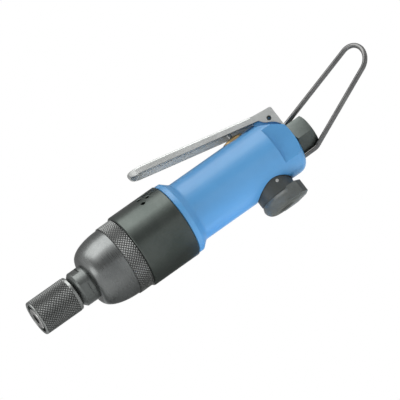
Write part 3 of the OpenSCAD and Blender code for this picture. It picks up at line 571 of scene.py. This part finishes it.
def make_collar():
    """Turned exhaust sleeve with two rows of drilled and countersunk holes."""
    piece = turn_up("exhaust_collar", [(71, 22.5), (71, 23.5)] + arc(72.1, 23.5, 1.1, 180, 90, 6)[1:]
                    + arc(104.1, 24.1, 0.5, 90, 0, 4) + [(104.6, 22.5), (104.35, 22.25), (101.4, 22.25),
                    (101.4, 23.1), (78, 23.1), (78, 22.25), (71.25, 22.25)], 160, loop=True)
    spacing = 15
    for x, first, count in ((91.3, -45, 7), (96.1, -37.5, 6)):
        for i in range(count):
            for low, top, r, r_top in ((20, 27, 1.3, 1.3), (24.15, 25.05, 1.05, 2.3625)):
                drill = upright_bar(x, low, top, r, 20, r_top)
                drill.rotation_euler = (math.radians(first + spacing * i), 0, 0)
                cut(piece, settle(drill))
    smooth(piece, 30)
    done(piece, "collar_turned", "collar", "black_steel", ["exhaust_collar"])


# Housing

def make_housing():
    """Grip with its flange, the two pockets beside the lever fork, the tail flats and the bores."""
    shape = [(149, 17.5), (98, 17.5), (98, 20.4), (80, 20.4), (80, 22), (80.2, 22.2), (105, 22.2)] \
        + [(105, 23.5)] + arc(105.6, 23.4, 0.6, 180, 90, 4)[1:] + arc(108.2, 23.2, 0.8, 90, 42, 4) \
        + arc(114.4, 23.2, 3.2, 228, 270, 6) + [(150, 20)] + arc(185.7, 13.5, 6.5, 90, 0, 14) + [(192.2, 6)]
    piece = turn_up("housing", shape, 160)
    lug = block((177.5, -FORK_HALF, 8), (190, FORK_HALF, 19.9))
    round_edges(lug, 1.1, 4, lambda a, b: min(a.z, b.z) > 19 or min(a.x, b.x) > 189)
    for side in (-1, 1):
        pocket = plate("pocket", [(x, side * FORK_HALF, z) for x, z in ((173, 20.3), (194, 5.6), (194, 40),
                       (173, 40))], (0, side, 0), 20)
        tail_flat = block((177.2, side * 18.6 - 3, -20), (200, side * 18.6 + 3, 20))
        y1, y2 = sorted((side * 4.6, side * 9.4))
        cut(piece, pocket, tail_flat, block((171, y1, 16.6), (178, y2, 24)))
    combine(piece, lug, "UNION")
    cut(piece, upright_bar(THROTTLE_X, 18.4, 30, 7.5, 64), upright_bar(THROTTLE_X, 12.5, 19, 5.5, 48),
        upright_bar(THROTTLE_X, 3, 13, 4.2, 32), upright_bar(KNOB_X, -40, -11.8, 13.3, 96),
        upright_bar(KNOB_X, -12.5, 0.5, 8, 64), round_bar(180, 195, 9.5, 64, 0, INLET_Z),
        round_bar(174, 181, 8.3, 64, 0, INLET_Z), *(round_bar(184, 195, 1.6, 20, y, z) for y, z in LEG_HOLES))
    break_edges(piece, 0.45, 3, 32)
    smooth(piece, 32)
    flatten(piece)
    done(piece, "grip_housing", "tool", "blue_metal", ["housing"])
    second_finish(piece, "nose_steel", lambda c, n: c.x < 104.9)


# Lever and throttle

def stamp_channel():
    """Channel with bent corners and a wrapped tip, level and with the pin's place as its origin."""
    tip, heel, half = -83.1, -5.0, 9.7
    pick_none()
    mesh_ops.primitive_cylinder_add(vertices=96, radius=half * MM, depth=4.2 * MM,
                                    location=(tip * MM, 0, 3.14 * MM))
    piece = settle(bpy.context.object)
    edit(piece, "VERT", "SELECT")
    mesh_ops.bisect(plane_co=(tip * MM, 0, 0), plane_no=(1, 0, 0), clear_outer=True, use_fill=True)
    leave_edit()
    pick_where(piece, "FACE", lambda c, n: n.x > 0.9 and c.x > tip - 0.4)
    draw_out((heel - tip, 0, 0))
    outward(piece)
    round_edges(piece, 1.2, 4, lambda a, b: min(a.z, b.z) > 5 and not min(a.x, b.x) > heel - 0.5
                and not max(abs(a.x - tip), abs(b.x - tip)) < 0.1)
    pick_where(piece, "FACE", lambda c, n: n.z < -0.9 or (n.x > 0.9 and c.x > heel - 0.5))
    mesh_ops.delete(type="FACE")
    leave_edit()
    wall = piece.modifiers.new("sheet", "SOLIDIFY")
    wall.thickness = 1.2 * MM
    wall.offset = -1
    wall.use_even_offset = True
    keep_modifier(piece, wall)
    under_tip = [(-94, 4.6)] + arc(-88.3, 5.54, 4.5, 200, 270, 10) + [(-88.3, 0), (-94, 0)]
    cut(piece, plate("under_tip", [(x, -11, z) for x, z in under_tip], (0, 1, 0), 22))
    return piece


def under_plate(place):
    """Says whether a place lies under the lever's top plate."""
    slope = math.radians(LEVER_SLOPE)
    return (place.z - PIN_Z) * math.cos(slope) - (PIN_X - place.x) * math.sin(slope) < 4.3


def make_lever():
    """Stamped channel, turned to its slope, with two ears for the pin."""
    piece = stamp_channel()
    piece.rotation_euler = (0, math.radians(LEVER_SLOPE), 0)
    settle(piece)
    outline = [(-9.5, 6.9), (-6.4, 6.5), (4, 5.5), (4.8, 5.2), (5.2, 4.5), (5.2, -9.4), (4.4, -8.2),
               (3.4, -6.2), (2.2, -4.6), (0.2, -2.9), (-2.8, -1.5), (-4.6, -0.1), (-6.2, 2.2), (-8, 2.9),
               (-9.5, 3.2)]
    for side in (-1, 1):
        ear = plate("ear", [(x, side * 9.72, z) for x, z in outline], (0, -side, 0), 1.24)
        combine(piece, ear, "UNION")
    piece.location = (PIN_X * MM, 0, PIN_Z * MM)
    settle(piece)
    cut(piece, cross_bar(PIN_X, 0, PIN_Z, 1.55, 30, 40))
    break_edges(piece, 0.18, 2, 40)
    smooth(piece, 35)
    flatten(piece)
    done(piece, "lever_stamped", "lever", "lever_steel", ["lever"])
    # Painted light: the faces inside the channel, under the top plate, get the lighter copy of the steel.
    second_finish(piece, "painted_light_inner_steel", lambda c, n: abs(c.y) < 8.6 and c.x > 110 and under_plate(c))
    # Painted shade: the downward sheet edges of the skirts get the darker nose steel.
    second_finish(piece, "nose_steel", lambda c, n: n.z < -0.8 and abs(c.y) > 8.2 and c.x < 180)


def make_throttle_cap():
    """Brass plug: stepped cone with a grooved rim and the guide bore of the stem."""
    shape = [(12.6, 3), (12.5, 3.2), (12.5, 5.3), (12.7, 5.5), (18.4, 5.5), (18.4, 7.1), (18.6, 7.3),
             (20.1, 7.3), (20.5, 6.9), (20.6, 6.2), (20.4, 6), (20.4, 5.6), (20.7, 5.4), (21.3, 4.2),
             (21.7, 2.6), (21.7, 1.75), (21.5, 1.55), (17, 1.55), (17, 3)]
    piece = turn_up("throttle_cap", shape, 64, loop=True)
    stand_up(piece, THROTTLE_X)
    smooth(piece, 30)
    done(piece, "throttle_cap", "tool", "brass", ["throttle_bushing"])


def make_roll_pin():
    """Rolled spring pin: a tube with broken edges and its slit."""
    shape = [(-9.9, 0.8), (-9.9, 1.3), (-9.7, 1.5), (9.7, 1.5), (9.9, 1.3), (9.9, 0.8)]
    piece = turn_up("roll_pin", shape, 40, loop=True)
    place = Matrix.Translation((PIN_X * MM, 0, PIN_Z * MM))
    piece.matrix_world = place @ Matrix.Rotation(QUARTER_TURN, 4, "Z")
    settle(piece)
    cut(piece, block((188, -12, PIN_Z - 0.25), (190, 12, PIN_Z + 0.25)))
    smooth(piece, 30)
    done(piece, "roll_pin", "tool", "black_steel", ["lever_pin"])


# Reverse knob

def takes_painted_light(place, normal):
    """Says whether a face of the knob gets the lighter copy of its plastic, as painted light: the lower
    pointer and foot. Faces turned towards +X keep the dark plastic, as painted shade.
    """
    low_enough = place.z < -24.6 or (place.z < -23.5 and place.x > 177)
    return low_enough and normal.x < 0.6 and math.hypot(place.x - KNOB_X, place.y) > 3


def make_knob():
    """Moulded knob with a rounded foot, a pointer, a sunk screw and its index dimple."""
    foot = [(z, x) for x, z in arc(8.3, -27.5, 5, -90, 0, 12)]
    side = [(-27.2, 13.3), (-25.1, 12.55), (-24.8, 12.3), (-24.3, 12.3), (-24.1, 12.6), (-12.6, 12.7),
            (-12.25, 12.55), (-12.1, 12.2)]
    piece = turn_up("reverse_knob", foot + side, 128)
    stand_up(piece, KNOB_X)
    outline = [(0, -12), (10.2, -12), (10.9, -11.6), (15.3, -4.6), (15.6, -3.8), (15.6, 3.8), (15.3, 4.6),
               (10.9, 11.6), (10.2, 12), (0, 12)]
    pointer = plate("pointer", [(KNOB_X + x, y, -32.25) for x, y in outline], (0, 0, 1), 8.65)
    round_edges(pointer, 0.45, 3, lambda a, b: abs(a.z - b.z) < 0.1 and min(a.x, b.x) > 166)
    combine(piece, pointer, "UNION")
    cut(piece, upright_bar(KNOB_X, -34, -28, 3.8, 48), upright_bar(KNOB_X, -32.7, -31.2, 5.3, 48, 3.8),
        block((KNOB_X - 3.5, -3.5, -20.1), (KNOB_X + 3.5, 3.5, -11)),
        upright_bar(KNOB_X, -29, -19, 2.05, 32), cross_bar(167, -13.8, -17.7, 1.02, 3, 24))
    break_edges(piece, 0.3, 3, 45)
    smooth(piece, 40)
    done(piece, "knob_moulded", "knob", "dark_plastic", ["reverse_knob"])
    # Painted light on the lower knob; its ends towards +X stay dark as painted shade.
    second_finish(piece, "painted_lit_plastic", takes_painted_light)


# Air inlet and hanger

def make_inlet():
    """Hexagon with turned-down corners, a shank and the threaded port."""
    across_flats, thickness, middle, turn = 22.2, 11.9, 198.85, 8
    thread_pitch = 1.34
    pick_none()
    mesh_ops.primitive_cylinder_add(vertices=6, radius=across_flats / 2 / math.cos(math.pi / 6) * MM,
                                    depth=thickness * MM)
    piece = bpy.context.object
    turned = Matrix.Rotation(math.radians(turn), 4, "X") @ Matrix.Rotation(QUARTER_TURN, 4, "Y")
    piece.matrix_world = Matrix.Translation((middle * MM, 0, 0)) @ turned
    settle(piece)
    combine(piece, turn_up("corners", [(192.9, 11.6), (193.8, 13.2), (203.2, 13.74), (204.8, 11.1)], 96),
            "INTERSECT")
    combine(piece, turn_up("shank", [(180, 9.1), (180.4, 9.5), (193.4, 9.5)], 96), "UNION")
    port = [(179, 4.2), (190.9, 4.2), (191.8, 5.6)]
    for i in range(9):
        port += [(192.2 + thread_pitch * i, 5.62), (192.87 + thread_pitch * i, 6.3)]
    cut(piece, turn_up("port", port + [(204.2, 5.7), (205.4, 6.9)], 64))
    piece.location = (0, 0, INLET_Z * MM)
    settle(piece)
    break_edges(piece, 0.22, 2, 25)
    smooth(piece, 30)
    done(piece, "inlet_hexagon", "tool", "inlet_steel", ["inlet_bushing"])


def bend(corner, before, after, radius, steps):
    """Points of a rounded corner along a wire."""
    a, b = (before - corner).normalized(), (after - corner).normalized()
    half = a.angle(b) / 2
    sweep = math.pi - 2 * half
    reach = radius / math.tan(half)
    centre = corner + (a + b).normalized() * radius / math.sin(half)
    start, stop = corner + a * reach - centre, corner + b * reach - centre
    rays = [start * math.sin((1 - i / steps) * sweep) + stop * math.sin(i / steps * sweep)
            for i in range(steps + 1)]
    return [centre + ray.normalized() * radius for ray in rays]


def hanger_route():
    """Points along the wire: up one leg, round the end and down the other leg."""
    turn, tilt, side_turn = (math.radians(v) for v in (28.4, 34, 30))
    leg_half, end_radius, reach, steps = 13.8, 9.7, 54.6, 24
    across = Vector((0, math.sin(turn), math.cos(turn)))
    lean = math.sin(tilt)
    along = Vector((math.cos(tilt), -lean * math.cos(side_turn), lean * math.sin(side_turn)))
    flat = across.cross(along).normalized().cross(across)
    start, root = Vector((184, 0, -2)), Vector((200.9, 0, -1.8))
    top = root + along * reach
    legs = []
    for side, shorter in ((1, 3.5), (-1, 0)):
        leg, knee, shoulder = (middle + across * half * side for middle, half in
                               ((start, leg_half), (root, leg_half), (top, end_radius)))
        knee.x -= shorter
        legs.append([leg] + bend(knee, leg, shoulder, 5.0, 8))
    angles = [math.pi * i / steps for i in range(steps + 1)]
    end = [top + (across * math.cos(a) + flat * math.sin(a)) * end_radius for a in angles]
    return legs[0] + end + legs[1][::-1]


def make_hanger():
    """Bent wire: two legs in the tail, two bends and one round end."""
    route = hanger_route()
    wire = bpy.data.curves.new("hanger_wire", "CURVE")
    wire.dimensions = "3D"
    line = wire.splines.new("POLY")
    line.points.add(len(route) - 1)
    for point, place in zip(line.points, route):
        point.co = (*(place * MM), 1)
    wire.bevel_depth = 1.55 * MM
    wire.bevel_resolution = 6
    wire.use_fill_caps = True
    piece = bpy.data.objects.new("hanger_wire", wire)
    scene.collection.objects.link(piece)
    pick(piece)
    ops.object.convert(target="MESH")
    piece = bpy.context.object
    outward(piece)
    smooth(piece, 50)
    done(piece, "hanger_wire", "tool", "wire_steel", ["hanger"])


# Springs

def make_spring(name, node, body, place, forward, radius, wire, length, turns):
    """Coil spring, its wire given by its radius."""
    steps_a_turn = 28
    pick_none()
    mesh_ops.primitive_circle_add(vertices=10, radius=wire * MM, fill_type="NOTHING",
                                  location=(radius * MM, 0, wire * MM), rotation=(QUARTER_TURN, 0, 0))
    piece = settle(bpy.context.object)
    sweep = piece.modifiers.new("turns", "SCREW")
    sweep.axis = "Z"
    sweep.angle = 2 * math.pi * turns
    sweep.screw_offset = (length - 2 * wire) * MM
    sweep.steps = sweep.render_steps = round(turns * steps_a_turn)
    keep_modifier(piece, sweep)
    edit(piece, "VERT", "SELECT")
    mesh_ops.fill_holes(sides=0)
    leave_edit()
    outward(piece)
    if forward:
        piece.rotation_euler = (0, QUARTER_TURN, 0)
    seat = [c * MM for c in place]
    piece.location = seat
    settle(piece)
    smooth(piece, 50)
    done(piece, name, body, "grey_steel", [node])
    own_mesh(piece)


make_bit_sleeve()
make_hammer_case()
make_grip_band()
make_collar()
make_spring("throttle_coil", "throttle_spring", "tool", (THROTTLE_X, 0, 3), forward=False, radius=2.2,
            wire=0.25, length=4.4, turns=3.5)
make_spring("sleeve_coil", "sleeve_spring", "spindle", (3.1, 0, 0), forward=True, radius=7.85,
            wire=0.5, length=8.9, turns=4)
make_housing()
make_lever()
make_throttle_cap()
make_roll_pin()
make_knob()
make_inlet()
make_hanger()


# Stage, in metres

CARD = (-0.222, -0.962, -0.156)
LIT_PLACE = Vector((0.11, 0, 0))


def floor_material():
    """Pale floor that is clear from behind, to shadows and far from the tool."""
    material, tree, shader = new_material("pale_floor")
    set_inputs(shader, {"Base Color": (0.92, 0.92, 0.92, 1), "Roughness": 0.9})
    back = add_node(tree, "NewGeometry")
    clear = add_node(tree, "BsdfTransparent")
    mix = add_node(tree, "MixShader")
    rays = add_node(tree, "LightPath")
    place = add_node(tree, "TexCoord")
    far = add_node(tree, "VectorMath", operation="LENGTH")
    fade = add_node(tree, "MapRange", interpolation_type="SMOOTHSTEP")
    set_inputs(fade, {"From Min": 0.15, "From Max": 0.55})
    either, clearest = (add_node(tree, "Math", operation="MAXIMUM") for i in range(2))
    join(tree, (back.outputs["Backfacing"], either.inputs[0]),
         (rays.outputs["Is Shadow Ray"], either.inputs[1]),
         (place.outputs["Object"], far.inputs[0]), (far.outputs["Value"], fade.inputs["Value"]),
         (either.outputs[0], clearest.inputs[0]), (fade.outputs["Result"], clearest.inputs[1]),
         (clearest.outputs[0], mix.inputs[0]), (shader.outputs[0], mix.inputs[1]),
         (clear.outputs[0], mix.inputs[2]), (mix.outputs[0], tree.nodes["Material Output"].inputs["Surface"]))
    return material


def make_floor():
    pick_none()
    mesh_ops.primitive_plane_add(size=3.0, location=(0.072, 0, -0.0247), rotation=(0, math.radians(5.25), 0))
    floor = bpy.context.object
    floor.name = "floor"
    floor.data.materials.append(floor_material())


def make_world():
    """Soft even light. Gloss shows white surroundings, with a dark card in front and one behind."""
    world = bpy.data.worlds.new("studio")
    scene.world = world
    world.use_nodes = True
    tree = world.node_tree
    soft = tree.nodes["Background"]
    set_inputs(soft, {"Color": (0.95, 0.97, 1.0, 1), "Strength": 0.24})
    plain = add_node(tree, "Background")
    set_inputs(plain, {"Color": (1, 1, 1, 1)})
    mirrored = add_node(tree, "Background")
    place = add_node(tree, "TexCoord")
    towards = add_node(tree, "VectorMath", operation="DOT_PRODUCT")
    towards.inputs[1].default_value = CARD
    either_way = add_node(tree, "Math", operation="ABSOLUTE")
    card = add_node(tree, "MapRange", interpolation_type="SMOOTHSTEP")
    set_inputs(card, {"From Min": 0.1, "From Max": 0.92, "To Min": 1.0, "To Max": 0.37})
    rays = add_node(tree, "LightPath")
    gloss = add_node(tree, "Math", operation="MAXIMUM")
    lit, seen = (add_node(tree, "MixShader") for i in range(2))
    join(tree, (place.outputs["Generated"], towards.inputs[0]),
         (towards.outputs["Value"], either_way.inputs[0]),
         (either_way.outputs[0], card.inputs["Value"]), (card.outputs["Result"], mirrored.inputs["Strength"]),
         (rays.outputs["Is Glossy Ray"], gloss.inputs[0]),
         (rays.outputs["Is Transmission Ray"], gloss.inputs[1]), (gloss.outputs[0], lit.inputs[0]),
         (soft.outputs[0], lit.inputs[1]), (mirrored.outputs[0], lit.inputs[2]),
         (rays.outputs["Is Camera Ray"], seen.inputs[0]), (lit.outputs[0], seen.inputs[1]),
         (plain.outputs[0], seen.inputs[2]), (seen.outputs[0], tree.nodes["World Output"].inputs["Surface"]))


def lamp(name, place, size, power):
    """An area lamp that points at the tool, its first side along the tool."""
    data = bpy.data.lights.new(name, "AREA")
    data.shape = "RECTANGLE"
    data.size, data.size_y = size
    data.energy = power
    light = bpy.data.objects.new(name, data)
    scene.collection.objects.link(light)
    back = (Vector(place) - LIT_PLACE).normalized()
    short = back.cross(Vector((1, 0, 0))).normalized()
    light.location = place
    light.rotation_mode = "QUATERNION"
    light.rotation_quaternion = Matrix((short.cross(back), short, back)).transposed().to_quaternion()


def make_camera():
    azimuth, height, roll = (math.radians(v) for v in (-13, -9, 37.27))
    distance = 2.5
    level = math.cos(height)
    back = Vector((math.sin(azimuth) * level, -math.cos(azimuth) * level, math.sin(height)))
    data = bpy.data.cameras.new("camera")
    data.sensor_width = 36
    data.lens = 371.25
    data.clip_start, data.clip_end = 0.05, 20
    camera = bpy.data.objects.new("camera", data)
    scene.collection.objects.link(camera)
    camera.rotation_mode = "QUATERNION"
    camera.location = Vector((0.1245, 0, 0.0018)) + back * distance
    rolled = Matrix.Rotation(-roll, 3, "Z").to_quaternion()
    camera.rotation_quaternion = (-back).to_track_quat("-Z", "Y") @ rolled
    scene.camera = camera


make_camera()
make_world()
make_floor()
for name, place, size, power in (
        ("above", (0.12, -0.3, 0.85), (1.1, 0.8), 5.6),
        ("above_front", (0.12, -0.62, 0.62), (1.1, 0.5), 1.1),
        ("front", (0.12, -0.85, -0.2), (1.1, 0.3), 0.9),
        ("below", (0.12, 0.25, -0.86), (1.1, 0.5), 6.0),
        ("below_behind", (0.12, 0.66, -0.6), (1.1, 0.5), 6.4),
        ("below_front", (0.12, -0.5, -0.76), (1.1, 0.5), 1.2),
        ("nose_low", (-0.55, -0.2, -0.7), (0.6, 0.6), 3.6),
        ("nose_high", (-0.8, -0.35, 0.15), (0.5, 0.5), 1.5)):
    lamp(name, place, size, power)

scene.view_settings.view_transform = "Standard"
